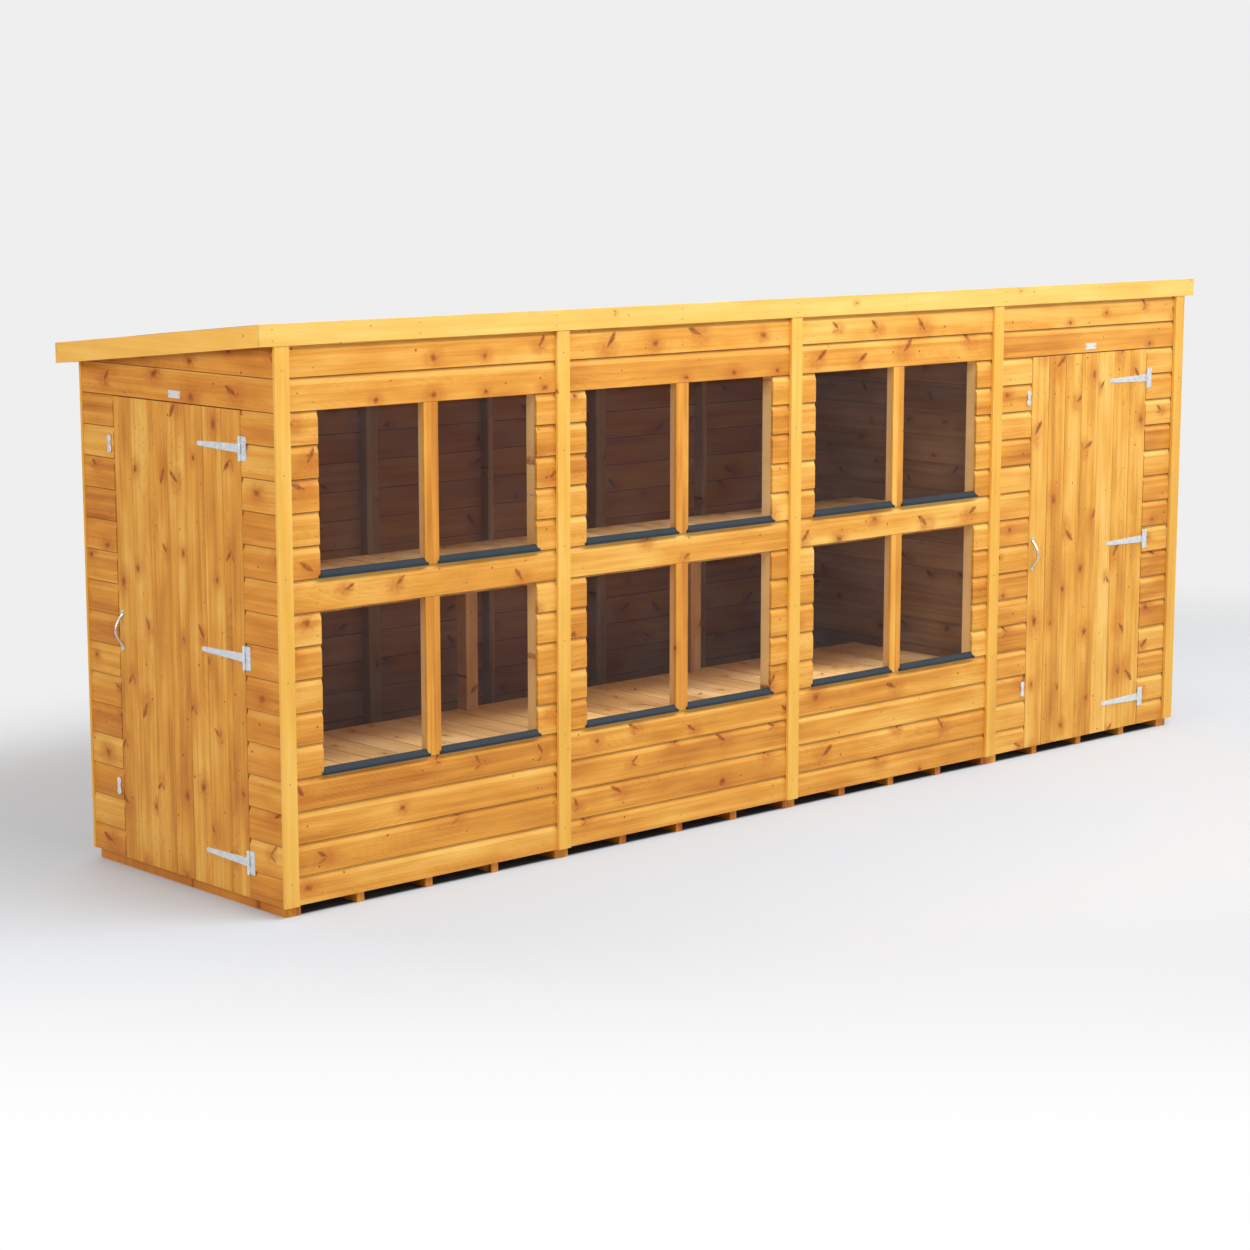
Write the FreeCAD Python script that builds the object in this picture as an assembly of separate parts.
# Pent potting shed: three window panels and a door panel along the front, a door in the left end,
# a store behind the front door, staging behind the windows. Millimetres, +Z up, front towards -Y.
import FreeCAD, Part
import math
import os
from collections import namedtuple

Vec = FreeCAD.Vector
UP = Vec(0, 0, 1)

# Plan
MODULE = 1200.0                 # length of one wall panel
MODULES = 4                     # panels along the front
WINDOW_MODULES = 3              # panels with windows, counted from the left end
FRAME_DEPTH = 1154.0            # from the front frame's outer face to the back frame's

# Timber sections
BATTEN_W = 28.0                 # face of a frame batten
BATTEN_D = 45.0                 # depth of a frame batten
BOARD_T = 12.0                  # cladding, floor and roof boards
STRIP_W = 58.5                  # cover strip over a panel joint
STRIP_T = 12.0
CORNER_LAP = 4.0                # corner strip past the end cladding

# Shiplap board
COVER = 113.0                   # height of board that shows
FIRST_COVER = 99.0              # the lowest board is cut down to this
COVE_H = 25.0                   # band along the top of the face, scooped down to the tongue
COVE_FLAT = 10.0                # upper part of the scoop, upright in line with the tongue
LAP_H = 8.0                     # tongue behind the next board
TONGUE_T = 6.0
LAP_GAP = 0.3

# Floor
JOIST_W = 32.0
JOIST_H = 45.0
JOIST_BAYS = 4                  # bays between the joists of one floor panel
FLOOR_BOARDS = 10               # boards across the depth
CLAD_DROP = 20.0                # cladding below the floor's top

# Windows, in courses of cladding counted from the ground
SILL_COURSES = 4                # courses under the lower window
WINDOW_COURSES = 5
MID_COURSES = 1                 # courses between the two windows
PANE_W = 450.5                  # width of glass that shows
MULLION_W = 62.0
MULLION_BATTEN_W = 45.0
PANE_T = 3.0
SILL_H = 25.0
SILL_TOP = 4.0                  # flat along the top of the drip sill
SILL_NOSE = 9.0                 # the nose stands this far in front of the cladding
SILL_LIP_H = 10.0
SILL_EAR = 8.0                  # the lip runs this far past the pane at each end

# Doors
DOOR_W = 786.0                  # opening in the cladding
DOOR_GAP = 3.0                  # between door and opening, all round
DOOR_BOARDS = 7
DOOR_VEE = 2.5                  # chamfer along each door board
STOP_LAP = 12.0                 # the jamb stands this far into the opening
FRONT_DOOR_SHIFT = 27.0         # front door stands right of its panel's middle
LEDGE_H = 95.0
LEDGE_T = 20.0
LEDGE_GAP = 6.0                 # ledge end to jamb
BRACE_W = 70.0

# T hinges
HINGE_FOOT_IN = 125.0           # lowest hinge above the door's foot
HINGE_HEAD_IN = 130.0           # highest hinge below the head
HINGE_PLATE = 2.5
ROUND_FLATS = 8                 # flats that stand for a round on small steel pieces
PIN_R = 3.0
PIN_CLEAR = 0.05
PIN_HEAD = 1.5
BARREL_R = 5.5
BARREL_CLEAR = 0.5
FLAP_H = 82.0
FLAP_W = 32.0
STRAP_LEN = 257.0
STRAP_ROOT = 31.0               # width of the strap at the barrel
STRAP_TIP = 17.0
TIP_STEPS = 6                   # straights round the tip of a plate
KNUCKLE_GAP = 0.6

# Bow handle
HANDLE_H = 150.0
HANDLE_Z = 878.0
HANDLE_IN = 24.0                # from the door's edge
HANDLE_SPAN = 104.0             # of the bow, where it meets the door
HANDLE_REACH = 31.0             # middle of the bar in front of the door
HANDLE_BAR = 9.0                # across its flats
HANDLE_STEPS = 8                # straights that make up the bow
HANDLE_FOOT_L = 30.0
HANDLE_FOOT_W = 16.0
HANDLE_FOOT_T = 3.0
SHARP_CORNERS = 1               # a swept section keeps its mitres

# Turn buttons
BUTTON_FOOT_IN = 262.0          # lower button above the door's foot
BUTTON_HEAD_IN = 173.0          # upper button below the head
BUTTON_OUT = 22.0               # pivot outside the door opening
BUTTON_L = 66.0
BUTTON_W = 25.0
BUTTON_WAIST = 15.0
BUTTON_T = 5.0
BUTTON_WASHER = 1.2
BUTTON_END_PLAY = 0.3
BUTTON_SCREW_R = 2.5
BUTTON_HEAD_R = 5.0
BUTTON_HEAD_T = 2.5

# Roof
ROOF_FRONT_Z = 2012.0           # top of the front fascia
ROOF_FALL = 119.0               # fall from front to back
FASCIA_H = 73.0
FASCIA_T = 15.0
BACK_EAVE = 57.0                # past the back cover strips
END_EAVE = 59.7                 # past the corner strips
FELT_T = 2.0
ROOF_BOARDS = 11
RAFTER_D = 45.0

# Partition and staging
SHELF_Z = (436.0, 1080.0)       # top of each shelf
SHELF_DEPTH = 693.0
SHELF_BOARD_W = 120.0
SHELF_GAP = 4.0
SHELF_END_GAP = 3.0
POST_W = 56.0
POST_FROM_JOINT = 115.0

# Lines worked out from the plan
X_WALL = MODULES * MODULE / 2
X_FRAME = X_WALL + BATTEN_D
X_CLAD = X_FRAME + BOARD_T
X_CORNER = X_CLAD + CORNER_LAP
X_ROOF = X_CORNER + END_EAVE
Y_CLAD = STRIP_T
Y_FRAME = Y_CLAD + BOARD_T
Y_ROOM = Y_FRAME + BATTEN_D
Y_BACK = Y_FRAME + FRAME_DEPTH
Y_BACK_ROOM = Y_BACK - BATTEN_D
Y_BACK_CLAD = Y_BACK + BOARD_T
Y_BACK_STRIP = Y_BACK_CLAD + STRIP_T
Y_ROOF = Y_CLAD - FASCIA_T
Y_ROOF_BACK = Y_BACK_STRIP + BACK_EAVE
Z_FLOOR = JOIST_H + BOARD_T
Z_CLAD = Z_FLOOR - CLAD_DROP
SLOPE = ROOF_FALL / (Y_ROOF_BACK - Y_ROOF)
ROOF_SKIN = BOARD_T + FELT_T
HEAD_COURSES = SILL_COURSES + 2 * WINDOW_COURSES + MID_COURSES
WINDOW_HALF = PANE_W + MULLION_W / 2
LEAF_W = DOOR_W - 2 * DOOR_GAP
PIN_OUT = BOARD_T + BARREL_CLEAR + BARREL_R
BOW_RADIUS = ((HANDLE_SPAN / 2) ** 2 + HANDLE_REACH ** 2) / (2 * HANDLE_REACH)
BOW_SWING = math.atan2(HANDLE_SPAN / 2, BOW_RADIUS - HANDLE_REACH)
BOW_CREST = HANDLE_BAR / 2 / math.cos(BOW_SWING / HANDLE_STEPS)
HANDLE_FRONT = BOARD_T + HANDLE_REACH + BOW_CREST
X_PARTITION = (WINDOW_MODULES - MODULES / 2) * MODULE
X_PARTITION_FRAME = X_PARTITION - BATTEN_D / 2 + BOARD_T / 2
Y_ORIGIN = (Y_FRAME - HANDLE_FRONT + Y_ROOF_BACK) / 2


def course_z(course):
    """Height of the line under a course of cladding, counted from 0 at the cladding's foot."""
    if course == 0:
        return Z_CLAD
    return Z_CLAD + FIRST_COVER + (course - 1) * COVER


def roof_top(y):
    """Height of the roof's top surface at a depth."""
    return ROOF_FRONT_Z - SLOPE * (y - Y_ROOF)


def roof_under(y):
    """Height of the roof boards' underside at a depth."""
    return roof_top(y) - ROOF_SKIN


def rail_under(y):
    """Height of the underside of a batten that follows the roof boards, at a depth."""
    return roof_under(y) - BATTEN_W


Z_HEAD = course_z(HEAD_COURSES)
HINGE_LOW = Z_CLAD + HINGE_FOOT_IN
HINGE_HIGH = Z_HEAD - HINGE_HEAD_IN
HINGE_Z = (HINGE_LOW, (HINGE_LOW + HINGE_HIGH) / 2, HINGE_HIGH)
BUTTON_Z = (Z_CLAD + BUTTON_FOOT_IN, Z_HEAD - BUTTON_HEAD_IN)
WINDOW_Z = (
    (course_z(SILL_COURSES), course_z(SILL_COURSES + WINDOW_COURSES)),
    (course_z(HEAD_COURSES - WINDOW_COURSES), Z_HEAD),
)


# A wall is drawn in its own directions: u along it, n outwards from the frame's outer face, z up
Wall = namedtuple("Wall", "base along out")
FRONT = Wall(Vec(0, Y_FRAME, 0), Vec(1, 0, 0), Vec(0, -1, 0))
REAR = Wall(Vec(0, Y_BACK, 0), Vec(1, 0, 0), Vec(0, 1, 0))
LEFT = Wall(Vec(-X_FRAME, 0, 0), Vec(0, 1, 0), Vec(-1, 0, 0))
RIGHT = Wall(Vec(X_FRAME, 0, 0), Vec(0, 1, 0), Vec(1, 0, 0))
DIVIDER = Wall(Vec(X_PARTITION_FRAME, 0, 0), Vec(0, 1, 0), Vec(-1, 0, 0))


def on_wall(wall, u, n, z):
    """Point of a wall's own u, n and z."""
    return wall.base + wall.along * u + wall.out * n + UP * z


def box(x, y, z):
    """Block between two limits in each direction."""
    return Part.makeBox(x[1] - x[0], y[1] - y[0], z[1] - z[0], Vec(x[0], y[0], z[0]))


def block(wall, u, n, z):
    """Block between two limits in each of a wall's directions."""
    low = on_wall(wall, u[0], n[0], z[0])
    high = on_wall(wall, u[1], n[1], z[1])
    corner = Vec(min(low.x, high.x), min(low.y, high.y), min(low.z, high.z))
    size = high - low
    return Part.makeBox(abs(size.x), abs(size.y), abs(size.z), corner)


def prism(points, sweep):
    """Closed outline carried straight along a vector."""
    return Part.Face(Part.makePolygon(points + points[:1])).extrude(sweep)


def sloped_batten(wall, u, n, low, high):
    """Batten on an end wall whose foot and top may follow the roof: low and high give z at a depth."""
    outline = [
        on_wall(wall, u[0], n[0], low(u[0])),
        on_wall(wall, u[1], n[0], low(u[1])),
        on_wall(wall, u[1], n[0], high(u[1])),
        on_wall(wall, u[0], n[0], high(u[0])),
    ]
    return prism(outline, wall.out * (n[1] - n[0]))


def level(z):
    """Constant height, for battens that don't follow the roof."""
    return lambda y: z


def shiplap(wall, u, z, starter):
    """One shiplap board: lip at the foot, flat face, scooped cove, tongue behind the next board."""
    foot, top = z
    face = BOARD_T
    lip = TONGUE_T + LAP_GAP
    heel = foot + LAP_H + LAP_GAP

    def corner(n, height):
        return on_wall(wall, u[0], n, height)

    outline = [
        corner(face, foot),
        corner(face, top - COVE_H),
        corner(TONGUE_T, top - COVE_FLAT),
        corner(TONGUE_T, top + LAP_H),
        corner(0, top + LAP_H),
    ]
    if starter:
        outline += [corner(0, foot)]
    else:
        outline += [corner(0, heel), corner(lip, heel), corner(lip, foot)]
    return prism(outline, wall.along * (u[1] - u[0]))


def clad(wall, whole, gaps, top):
    """Courses of shiplap over a wall, left out where a gap (u limits, z limits) is."""
    boards = []
    course = 0
    while course_z(course) < top:
        foot = course_z(course)
        spans = [whole]
        for gap_u, gap_z in gaps:
            if gap_z[0] <= foot < gap_z[1]:
                spans = [(a, b) for s in spans for a, b in ((s[0], gap_u[0]), (gap_u[1], s[1]))]
        boards += [shiplap(wall, u, (foot, course_z(course + 1)), course == 0) for u in spans]
        course += 1
    return boards


def below_roof(solids):
    """Solids cut off along the roof boards' underside."""
    y = (Y_ROOF, Y_ROOF_BACK)
    outline = [
        Vec(-X_ROOF, y[0], 0),
        Vec(-X_ROOF, y[1], 0),
        Vec(-X_ROOF, y[1], roof_under(y[1])),
        Vec(-X_ROOF, y[0], roof_under(y[0])),
    ]
    space = prism(outline, Vec(2 * X_ROOF, 0, 0))
    return [piece for solid in solids for piece in solid.common(space).Solids]


def module_x(index):
    """Left and right limits of a front panel."""
    left = -X_WALL + index * MODULE
    return left, left + MODULE


NODES = {}


def node(name, solids):
    """Keep a sub-part under its name."""
    NODES[name] = solids


# Floor
def floor_panel_x(index):
    """Left and right limits of a floor panel; the end ones run out under the end walls."""
    left, right = module_x(index)
    if index == 0:
        left = -X_FRAME
    if index == MODULES - 1:
        right = X_FRAME
    return left, right


def floor_joists():
    """Joists from front to back in even bays, with a second one under each end wall and the partition."""
    starts = [-X_FRAME + JOIST_W, X_FRAME - 2 * JOIST_W, X_PARTITION + JOIST_W]
    for index in range(MODULES):
        left, right = floor_panel_x(index)
        bay = (right - left - JOIST_W) / JOIST_BAYS
        starts += [left + bay * step for step in range(JOIST_BAYS + 1)]
    return [box((x, x + JOIST_W), (Y_FRAME, Y_BACK), (0, JOIST_H)) for x in starts]


def floor_boards():
    """Boards along each floor panel."""
    width = FRAME_DEPTH / FLOOR_BOARDS
    boards = []
    for index in range(MODULES):
        left, right = floor_panel_x(index)
        for row in range(FLOOR_BOARDS):
            y = Y_FRAME + row * width
            boards.append(box((left, right), (y, y + width), (JOIST_H, Z_FLOOR)))
    return boards


node("floor_joists", floor_joists())
node("floor_boards", floor_boards())


# Long walls
FRAME_N = (-BATTEN_D, 0.0)
Z_SOLE = Z_FLOOR + BATTEN_W


def top_plate(wall, x):
    """Top batten of a long wall, planed to the roof's slope."""
    inner = wall.base + wall.out * -BATTEN_D
    y = sorted((wall.base.y, inner.y))
    low = roof_under(y[1]) - BATTEN_W
    outline = [
        Vec(x[0], y[0], low),
        Vec(x[0], y[1], low),
        Vec(x[0], y[1], roof_under(y[1])),
        Vec(x[0], y[0], roof_under(y[0])),
    ]
    return prism(outline, Vec(x[1] - x[0], 0, 0)), low


def long_wall_frame(wall, x, stud_starts, rails, sole_spans):
    """Sole, top plate, studs and rails (x limits, foot) of one panel."""
    plate, plate_z = top_plate(wall, x)
    solids = [plate]
    solids += [block(wall, span, FRAME_N, (Z_FLOOR, Z_SOLE)) for span in sole_spans]
    solids += [block(wall, (s, s + BATTEN_W), FRAME_N, (Z_SOLE, plate_z)) for s in stud_starts]
    solids += [block(wall, span, FRAME_N, (foot, foot + BATTEN_W)) for span, foot in rails]
    return solids


def window_panel(index):
    """Frame, cladding, mullions, panes and sills of one window panel."""
    x = module_x(index)
    middle = (x[0] + x[1]) / 2
    window = (middle - WINDOW_HALF, middle + WINDOW_HALF)
    studs = [x[0], window[0] - BATTEN_W, window[1], x[1] - BATTEN_W]
    rails = []
    mullions = []
    panes = []
    sills = []
    for low, high in WINDOW_Z:
        rails += [(window, low - BATTEN_W), (window, high)]
        mullions += mullion(middle, low, high)
        for side in (-1, 1):
            glass = sorted((middle, middle + side * WINDOW_HALF))
            shown = sorted((middle + side * MULLION_W / 2, middle + side * WINDOW_HALF))
            panes.append(block(FRONT, glass, (-PANE_T, 0), (low, high)))
            sills.append(drip_sill(shown, low))
    gaps = [(window, limits) for limits in WINDOW_Z]
    number = str(index + 1)
    node("window_frame_" + number, long_wall_frame(FRONT, x, studs, rails, [x]))
    node("window_cladding_" + number, below_roof(clad(FRONT, x, gaps, roof_under(Y_FRAME))))
    node("window_mullions_" + number, mullions)
    node("window_panes_" + number, panes)
    node("window_sills_" + number, sills)


def mullion(middle, low, high):
    """Cover strip between the panes, rebated over the tongue below, and the flat batten behind them."""
    half = MULLION_W / 2
    lip = TONGUE_T + LAP_GAP
    heel = low + LAP_H + LAP_GAP
    outline = [
        on_wall(FRONT, middle - half, BOARD_T, low),
        on_wall(FRONT, middle - half, lip, low),
        on_wall(FRONT, middle - half, lip, heel),
        on_wall(FRONT, middle - half, 0, heel),
        on_wall(FRONT, middle - half, 0, high),
        on_wall(FRONT, middle - half, BOARD_T, high),
    ]
    strip = prism(outline, FRONT.along * MULLION_W)
    half = MULLION_BATTEN_W / 2
    batten = block(FRONT, (middle - half, middle + half), (-PANE_T - BATTEN_W, -PANE_T), (low, high))
    return [strip, batten]


def drip_sill(span, low):
    """Sloped sill on the board under a pane, with a lip that runs past both ends of the pane."""
    lip = TONGUE_T + LAP_GAP
    heel = low + LAP_H + LAP_GAP
    nose = BOARD_T + SILL_NOSE

    def corner(n, z, u=span[0]):
        return on_wall(FRONT, u, n, z)

    body = [
        corner(0, heel),
        corner(0, low + SILL_H),
        corner(SILL_TOP, low + SILL_H),
        corner(nose, low + SILL_LIP_H),
        corner(nose, low),
        corner(lip, low),
        corner(lip, heel),
    ]
    ear = [
        corner(BOARD_T, low, span[0] - SILL_EAR),
        corner(BOARD_T, low + SILL_LIP_H, span[0] - SILL_EAR),
        corner(nose, low + SILL_LIP_H, span[0] - SILL_EAR),
        corner(nose, low, span[0] - SILL_EAR),
    ]
    length = span[1] - span[0]
    sill = prism(body, FRONT.along * length)
    return sill.fuse(prism(ear, FRONT.along * (length + 2 * SILL_EAR))).removeSplitter().Solids[0]


def door_edges(middle):
    """Door opening in the cladding and the narrower one between the jambs."""
    opening = (middle - DOOR_W / 2, middle + DOOR_W / 2)
    clear = (opening[0] + STOP_LAP, opening[1] - STOP_LAP)
    return opening, clear


X_DOOR = (module_x(MODULES - 1)[0] + module_x(MODULES - 1)[1]) / 2 + FRONT_DOOR_SHIFT
Y_DOOR = (Y_FRAME + Y_BACK) / 2


def door_panel():
    """Frame and cladding of the front panel with the store's door."""
    x = module_x(MODULES - 1)
    opening, clear = door_edges(X_DOOR)
    studs = [x[0], clear[0] - BATTEN_W, clear[1], x[1] - BATTEN_W]
    soles = [(x[0], clear[0]), (clear[1], x[1])]
    gap = [(opening, (Z_CLAD, Z_HEAD))]
    node("door_panel_frame", long_wall_frame(FRONT, x, studs, [(clear, Z_HEAD)], soles))
    node("door_panel_cladding", below_roof(clad(FRONT, x, gap, roof_under(Y_FRAME))))


def back_wall():
    """Frames with a stud at each edge and in the middle, and plain cladding, panel by panel."""
    frames = []
    boards = []
    for index in range(MODULES):
        x = module_x(index)
        middle = (x[0] + x[1] - BATTEN_W) / 2
        frames += long_wall_frame(REAR, x, [x[0], middle, x[1] - BATTEN_W], [], [x])
        boards += below_roof(clad(REAR, x, [], roof_under(Y_BACK)))
    node("back_frames", frames)
    node("back_cladding", boards)


for panel in range(WINDOW_MODULES):
    window_panel(panel)
door_panel()
back_wall()


# End walls
def end_frame(wall, opening):
    """Sole, sloping top rail, studs and, round a door, jambs and a head rail."""
    y = (Y_CLAD, Y_BACK_CLAD)
    starts = [y[0], y[1] - BATTEN_W]
    soles = [y]
    solids = [sloped_batten(wall, y, FRAME_N, rail_under, roof_under)]
    if opening:
        starts += [opening[0] - BATTEN_W, opening[1]]
        soles = [(y[0], opening[0]), (opening[1], y[1])]
        solids.append(block(wall, opening, FRAME_N, (Z_HEAD, Z_HEAD + BATTEN_W)))
    else:
        starts.append((y[0] + y[1] - BATTEN_W) / 2)
    solids += [block(wall, sole, FRAME_N, (Z_FLOOR, Z_SOLE)) for sole in soles]
    solids += [sloped_batten(wall, (s, s + BATTEN_W), FRAME_N, level(Z_SOLE), rail_under) for s in starts]
    return solids


def end_cladding(wall, gaps):
    """Boards from corner to corner, the top ones cut to the roof."""
    return below_roof(clad(wall, (Y_CLAD, Y_BACK_CLAD), gaps, roof_under(Y_CLAD)))


LEFT_OPENING, LEFT_CLEAR = door_edges(Y_DOOR)
node("left_end_frame", end_frame(LEFT, LEFT_CLEAR))
node("left_end_cladding", end_cladding(LEFT, [(LEFT_OPENING, (Z_CLAD, Z_HEAD))]))
node("right_end_frame", end_frame(RIGHT, None))
node("right_end_cladding", end_cladding(RIGHT, []))


# Partition
def partition():
    """Frame and boards between potting room and store, boards on the room's side."""
    y = (Y_ROOM, Y_BACK_ROOM)
    starts = [y[0], (y[0] + y[1] - BATTEN_W) / 2, y[1] - BATTEN_W]
    frame = [sloped_batten(DIVIDER, y, FRAME_N, rail_under, roof_under)]
    frame.append(block(DIVIDER, y, FRAME_N, (Z_FLOOR, Z_SOLE)))
    frame += [sloped_batten(DIVIDER, (s, s + BATTEN_W), FRAME_N, level(Z_SOLE), rail_under) for s in starts]
    floor_up = box((-X_ROOF, X_ROOF), (Y_ROOF, Y_ROOF_BACK), (Z_FLOOR, ROOF_FRONT_Z))
    boards = below_roof(clad(DIVIDER, y, [], roof_under(y[0])))
    node("partition_frame", frame)
    node("partition_boards", [piece for board in boards for piece in board.common(floor_up).Solids])


partition()


# Strips over the panel joints and the corners
Z_FASCIA = ROOF_FRONT_Z - FASCIA_H


def strips():
    """Upright strips: over each joint at front and back, and at the four corners."""
    joints = [module_x(index)[0] for index in range(1, MODULES)]
    back_top = roof_under(Y_BACK_STRIP)
    front = [(x - STRIP_W / 2, x + STRIP_W / 2) for x in joints]
    corner = [(-X_CORNER, -X_CORNER + STRIP_W), (X_CORNER - STRIP_W, X_CORNER)]
    front_y = (0, Y_CLAD)
    back_y = (Y_BACK_CLAD, Y_BACK_STRIP)
    node("front_cover_strips", [box(x, front_y, (Z_CLAD, Z_FASCIA)) for x in front])
    node("back_cover_strips", [box(x, back_y, (Z_CLAD, back_top)) for x in front])
    corners = [box(x, front_y, (Z_CLAD, Z_FASCIA)) for x in corner]
    corners += [box(x, back_y, (Z_CLAD, back_top)) for x in corner]
    node("corner_strips", corners)


strips()


# Roof
def sloped_slab(x, y, under_top, thick):
    """Slab that follows the roof, its top a stated depth under the roof's top surface."""
    outline = [
        Vec(x[0], y[0], roof_top(y[0]) - under_top - thick),
        Vec(x[0], y[1], roof_top(y[1]) - under_top - thick),
        Vec(x[0], y[1], roof_top(y[1]) - under_top),
        Vec(x[0], y[0], roof_top(y[0]) - under_top),
    ]
    return prism(outline, Vec(x[1] - x[0], 0, 0))


def roof():
    """Boards on rafters, felt, and fascias round the edge."""
    deck_x = X_ROOF - FASCIA_T
    deck_y = (Y_CLAD, Y_ROOF_BACK - FASCIA_T)
    width = (deck_y[1] - deck_y[0]) / ROOF_BOARDS
    boards = []
    rafters = []
    for index in range(MODULES):
        left, right = module_x(index)
        middle = (left + right - BATTEN_W) / 2
        starts = [left, middle, right - BATTEN_W]
        if index == WINDOW_MODULES:
            starts[0] = X_PARTITION_FRAME + BATTEN_D
        if index == WINDOW_MODULES - 1:
            starts[2] = X_PARTITION_FRAME - BOARD_T - BATTEN_W
        for x in starts:
            rafters.append(sloped_slab((x, x + BATTEN_W), (Y_ROOM, Y_BACK_ROOM), ROOF_SKIN, RAFTER_D))
        left = -deck_x if index == 0 else left
        right = deck_x if index == MODULES - 1 else right
        for row in range(ROOF_BOARDS):
            y = (deck_y[0] + row * width, deck_y[0] + (row + 1) * width)
            boards.append(sloped_slab((left, right), y, FELT_T, BOARD_T))
    node("roof_rafters", rafters)
    node("roof_boards", boards)
    node("roof_felt", [sloped_slab((-deck_x, deck_x), deck_y, 0, FELT_T)])
    node("front_fascia", [box((-X_ROOF, X_ROOF), (Y_ROOF, Y_CLAD), (Z_FASCIA, ROOF_FRONT_Z))])
    back_y = (deck_y[1], Y_ROOF_BACK)
    node("back_fascia", [sloped_slab((-X_ROOF, X_ROOF), back_y, 0, FASCIA_H)])
    node("left_fascia", [sloped_slab((-X_ROOF, -deck_x), deck_y, 0, FASCIA_H)])
    node("right_fascia", [sloped_slab((deck_x, X_ROOF), deck_y, 0, FASCIA_H)])


roof()


# Staging
def staging():
    """Two shelves of boards laid from front to back on bearers, with posts under the back bearers."""
    x = (-X_WALL + SHELF_END_GAP, X_PARTITION_FRAME - BOARD_T - SHELF_END_GAP)
    y = (Y_ROOM, Y_ROOM + SHELF_DEPTH)
    pitch = SHELF_BOARD_W + SHELF_GAP
    count = math.floor((x[1] - x[0] + SHELF_GAP) / pitch)
    spread = (x[1] - x[0] - SHELF_BOARD_W) / (count - 1)
    posts = [module_x(index)[0] + POST_FROM_JOINT for index in range(WINDOW_MODULES)]
    bearers = []
    foot = Z_FLOOR
    for name, top in zip(("lower_shelf_boards", "upper_shelf_boards"), SHELF_Z):
        under = top - BOARD_T
        starts = [x[0] + spread * step for step in range(count)]
        node(name, [box((s, s + SHELF_BOARD_W), y, (under, top)) for s in starts])
        for front in (y[0], y[1] - POST_W):
            back = front + (BATTEN_W if front == y[0] else POST_W)
            bearers.append(box(x, (front, back), (under - BATTEN_D, under)))
        for start in posts:
            bearers.append(box((start, start + POST_W), (y[1] - POST_W, y[1]), (foot, under - BATTEN_D)))
        foot = top
    node("staging_frame", bearers)


staging()


# Doors
def pin_line(opening, hinge_high):
    """Where the hinge pins stand along a wall, and the direction from them across the door."""
    if hinge_high:
        return opening[1] - DOOR_GAP / 2, -1
    return opening[0] + DOOR_GAP / 2, 1


def door_leaf(wall, opening):
    """Upright boards with a vee where they meet."""
    width = LEAF_W / DOOR_BOARDS
    z = (Z_CLAD, Z_HEAD - DOOR_GAP)
    boards = []
    for index in range(DOOR_BOARDS):
        u = opening[0] + DOOR_GAP + index * width
        outline = [
            on_wall(wall, u, 0, z[0]),
            on_wall(wall, u + width, 0, z[0]),
            on_wall(wall, u + width, BOARD_T - DOOR_VEE, z[0]),
            on_wall(wall, u + width - DOOR_VEE, BOARD_T, z[0]),
            on_wall(wall, u + DOOR_VEE, BOARD_T, z[0]),
            on_wall(wall, u, BOARD_T - DOOR_VEE, z[0]),
        ]
        boards.append(prism(outline, UP * (z[1] - z[0])))
    return boards


def door_ledges(wall, clear, hinge_high):
    """Ledges behind the hinges and braces that rise from the hinge side."""
    u = (clear[0] + LEDGE_GAP, clear[1] - LEDGE_GAP)
    n = (-LEDGE_T, 0)
    ledges = [block(wall, u, n, (z - LEDGE_H / 2, z + LEDGE_H / 2)) for z in HINGE_Z]
    ends = (u[1], u[0]) if hinge_high else u
    run = BRACE_W if ends[1] > ends[0] else -BRACE_W
    for low, high in zip(HINGE_Z, HINGE_Z[1:]):
        foot = low + LEDGE_H / 2
        head = high - LEDGE_H / 2
        outline = [
            on_wall(wall, ends[0], 0, foot),
            on_wall(wall, ends[0] + run, 0, foot),
            on_wall(wall, ends[1], 0, head),
            on_wall(wall, ends[1] - run, 0, head),
        ]
        ledges.append(prism(outline, wall.out * -LEDGE_T))
    return ledges


def flats_round(centre, radius, first, second):
    """Corners of an even-sided outline on a circle, in the plane of two directions."""
    half_step = math.pi / ROUND_FLATS
    turns = [half_step * (2 * side + 1) for side in range(ROUND_FLATS)]
    return [centre + (first * math.cos(turn) + second * math.sin(turn)) * radius for turn in turns]


def outer_radius(radius):
    """Circle through the corners of an outline whose flats touch a round of this radius."""
    return radius / math.cos(math.pi / ROUND_FLATS)


def upright_bar(wall, u, z, radius):
    """Bar round a hinge's pin line between two heights."""
    section = flats_round(on_wall(wall, u, PIN_OUT, z[0]), radius, wall.along, wall.out)
    return prism(section, UP * (z[1] - z[0]))


def outward_bar(wall, u, z, n, radius):
    """Bar square to a wall between two distances from it."""
    section = flats_round(on_wall(wall, u, n[0], z), radius, wall.along, UP)
    return prism(section, wall.out * (n[1] - n[0]))


def round_tip(centre, radius, ahead, side):
    """Half round at the end of a plate, as short straights from one side to the other."""
    turns = [math.pi * (step / TIP_STEPS - 1 / 2) for step in range(TIP_STEPS + 1)]
    return [centre + (ahead * math.cos(turn) + side * math.sin(turn)) * radius for turn in turns]


def pin_hole(wall, u, z):
    """Hole for the pin between two heights."""
    return upright_bar(wall, u, z, outer_radius(PIN_R + PIN_CLEAR))


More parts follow.
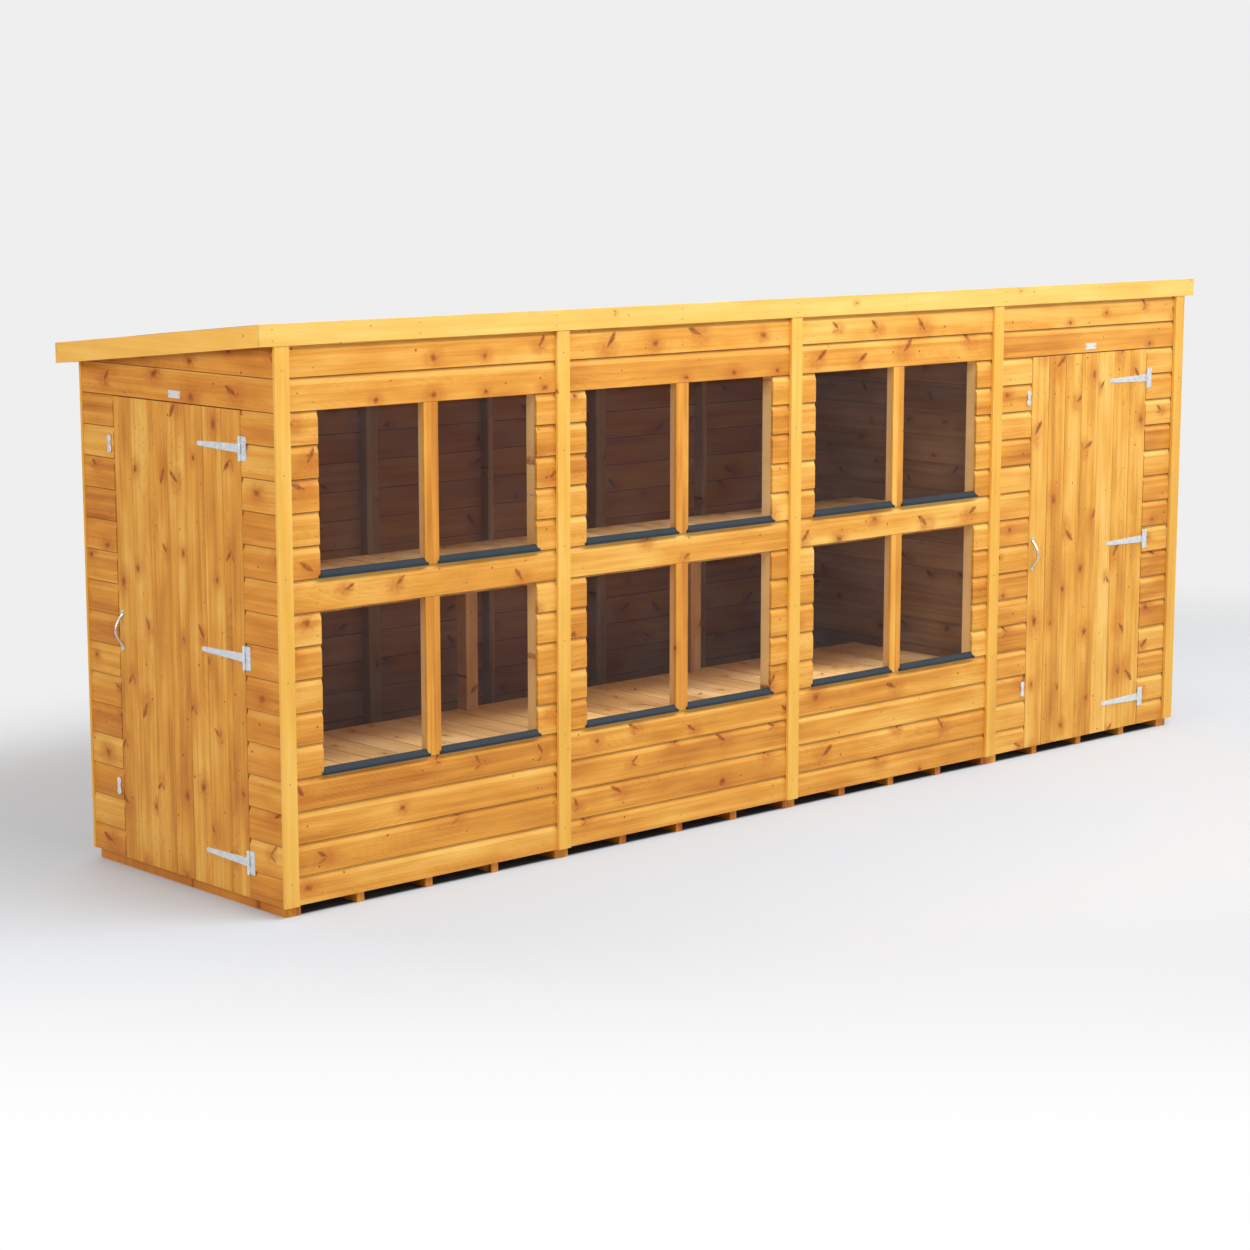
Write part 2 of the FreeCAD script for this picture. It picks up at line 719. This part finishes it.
def hinge_strap(wall, u, across, z):
    """Tapered strap with a rounded tip and the middle knuckle."""
    root = STRAP_ROOT / 2
    tip = STRAP_TIP / 2
    end = on_wall(wall, u + across * (STRAP_LEN - tip), BOARD_T, z)
    outline = round_tip(end, tip, wall.along * across, UP)
    outline += [on_wall(wall, u, BOARD_T, z + root), on_wall(wall, u, BOARD_T, z - root)]
    plate = prism(outline, wall.out * HINGE_PLATE)
    span = (z - root, z + root)
    strap = plate.fuse(upright_bar(wall, u, span, BARREL_R)).cut(pin_hole(wall, u, span))
    return strap.removeSplitter().Solids[0]


def hinge_flap(wall, u, across, z):
    """Flap on the wall beside the door with an outer knuckle at each end."""
    half = FLAP_H / 2
    inner = STRAP_ROOT / 2 + KNUCKLE_GAP
    n = (BOARD_T, BOARD_T + HINGE_PLATE)
    far = u - across * FLAP_W
    near = u - across * (BARREL_R + KNUCKLE_GAP)
    whole = (z - half, z + half)
    flap = block(wall, (near, far), n, whole)
    for span in ((z - half, z - inner), (z + inner, z + half)):
        flap = flap.fuse(block(wall, (u, near), n, span)).fuse(upright_bar(wall, u, span, BARREL_R))
    return flap.cut(pin_hole(wall, u, whole)).removeSplitter().Solids[0]


def hinge_pin(wall, u, z):
    """Pin with a head at each end of the barrel."""
    half = FLAP_H / 2
    pin = upright_bar(wall, u, (z - half, z + half), PIN_R)
    for foot in (z - half - PIN_HEAD, z + half):
        pin = pin.fuse(upright_bar(wall, u, (foot, foot + PIN_HEAD), BARREL_R))
    return pin.removeSplitter().Solids[0]


def bow_handle(wall, u):
    """Bar in an arc of short straights that springs from two flat feet on the door."""
    middle = on_wall(wall, u, BOARD_T + HANDLE_REACH - BOW_RADIUS, HANDLE_Z)
    turns = [BOW_SWING * (2 * step / HANDLE_STEPS - 1) for step in range(HANDLE_STEPS + 1)]
    route = [middle + (wall.out * math.cos(turn) + UP * math.sin(turn)) * BOW_RADIUS for turn in turns]
    lean = (route[1] - route[0]).normalize()
    section = flats_round(route[0], outer_radius(HANDLE_BAR / 2), wall.along, wall.along.cross(lean))
    ring = Part.makePolygon(section + section[:1])
    handle = Part.makePolygon(route).makePipeShell([ring], True, False, SHARP_CORNERS)
    side = wall.along * (HANDLE_FOOT_W / 2)
    seat = on_wall(wall, u, BOARD_T, HANDLE_Z)
    for ahead in (UP, UP * -1):
        tip = seat + ahead * (HANDLE_H / 2 - HANDLE_FOOT_W / 2)
        heel = seat + ahead * (HANDLE_H / 2 - HANDLE_FOOT_L)
        outline = round_tip(tip, HANDLE_FOOT_W / 2, ahead, wall.along)
        handle = handle.fuse(prism(outline + [heel + side, heel - side], wall.out * HANDLE_FOOT_T))
    width = (u - HANDLE_FOOT_W, u + HANDLE_FOOT_W)
    behind = block(wall, width, (0, BOARD_T), (HANDLE_Z - HANDLE_H, HANDLE_Z + HANDLE_H))
    return handle.cut(behind).removeSplitter().Solids[0]


def turn_button(wall, u, z):
    """Plate with two round ends and a waist, bored for its screw."""
    back = BOARD_T + BUTTON_WASHER + BUTTON_END_PLAY
    n = (back, back + BUTTON_T)
    lobe = BUTTON_W / 2
    reach = BUTTON_L / 2 - lobe
    button = block(wall, (u - BUTTON_WAIST / 2, u + BUTTON_WAIST / 2), n, (z - reach, z + reach))
    for end in (z - reach, z + reach):
        button = button.fuse(outward_bar(wall, u, end, n, lobe))
    bore = outward_bar(wall, u, z, n, outer_radius(BUTTON_SCREW_R + PIN_CLEAR))
    return button.cut(bore).removeSplitter().Solids[0]


def button_pivot(wall, u, z):
    """Washer on the cladding, shank and head of a turn button's screw."""
    shank = BOARD_T + BUTTON_WASHER
    head = shank + BUTTON_T + 2 * BUTTON_END_PLAY
    pivot = outward_bar(wall, u, z, (BOARD_T, shank), BUTTON_HEAD_R)
    pivot = pivot.fuse(outward_bar(wall, u, z, (shank, head), BUTTON_SCREW_R))
    pivot = pivot.fuse(outward_bar(wall, u, z, (head, head + BUTTON_HEAD_T), BUTTON_HEAD_R))
    return pivot.removeSplitter().Solids[0]


def door(name, wall, middle, hinge_high):
    """One door with its hinges, handle and turn buttons; hinge_high puts the pins at the larger u."""
    opening, clear = door_edges(middle)
    pin_u, across = pin_line(opening, hinge_high)
    lock = opening[0] if hinge_high else opening[1]
    inward = 1 if hinge_high else -1
    node(name + "_door_boards", door_leaf(wall, opening))
    node(name + "_door_ledges", door_ledges(wall, clear, hinge_high))
    node(name + "_door_hinge_straps", [hinge_strap(wall, pin_u, across, z) for z in HINGE_Z])
    node(name + "_hinge_flaps", [hinge_flap(wall, pin_u, across, z) for z in HINGE_Z])
    node(name + "_hinge_pins", [hinge_pin(wall, pin_u, z) for z in HINGE_Z])
    node(name + "_door_handle", [bow_handle(wall, lock + inward * (DOOR_GAP + HANDLE_IN))])
    button_u = lock - inward * BUTTON_OUT
    for place, z in zip(("lower", "upper"), BUTTON_Z):
        node(name + "_" + place + "_turn_button", [turn_button(wall, button_u, z)])
    return [button_pivot(wall, button_u, z) for z in BUTTON_Z]


pivots = door("left", LEFT, Y_DOOR, False)
pivots += door("front", FRONT, X_DOOR, True)
node("turn_button_pivots", pivots)


# One file for each sub-part, with the origin on the ground under the middle of the shed
os.makedirs("parts", exist_ok=True)
for name, solids in NODES.items():
    shape = Part.Compound(solids)
    shape.translate(Vec(0, -Y_ORIGIN, 0))
    shape.exportStep("parts/" + name + ".step")
print(len(NODES), "sub-parts,", sum(len(solids) for solids in NODES.values()), "solids")
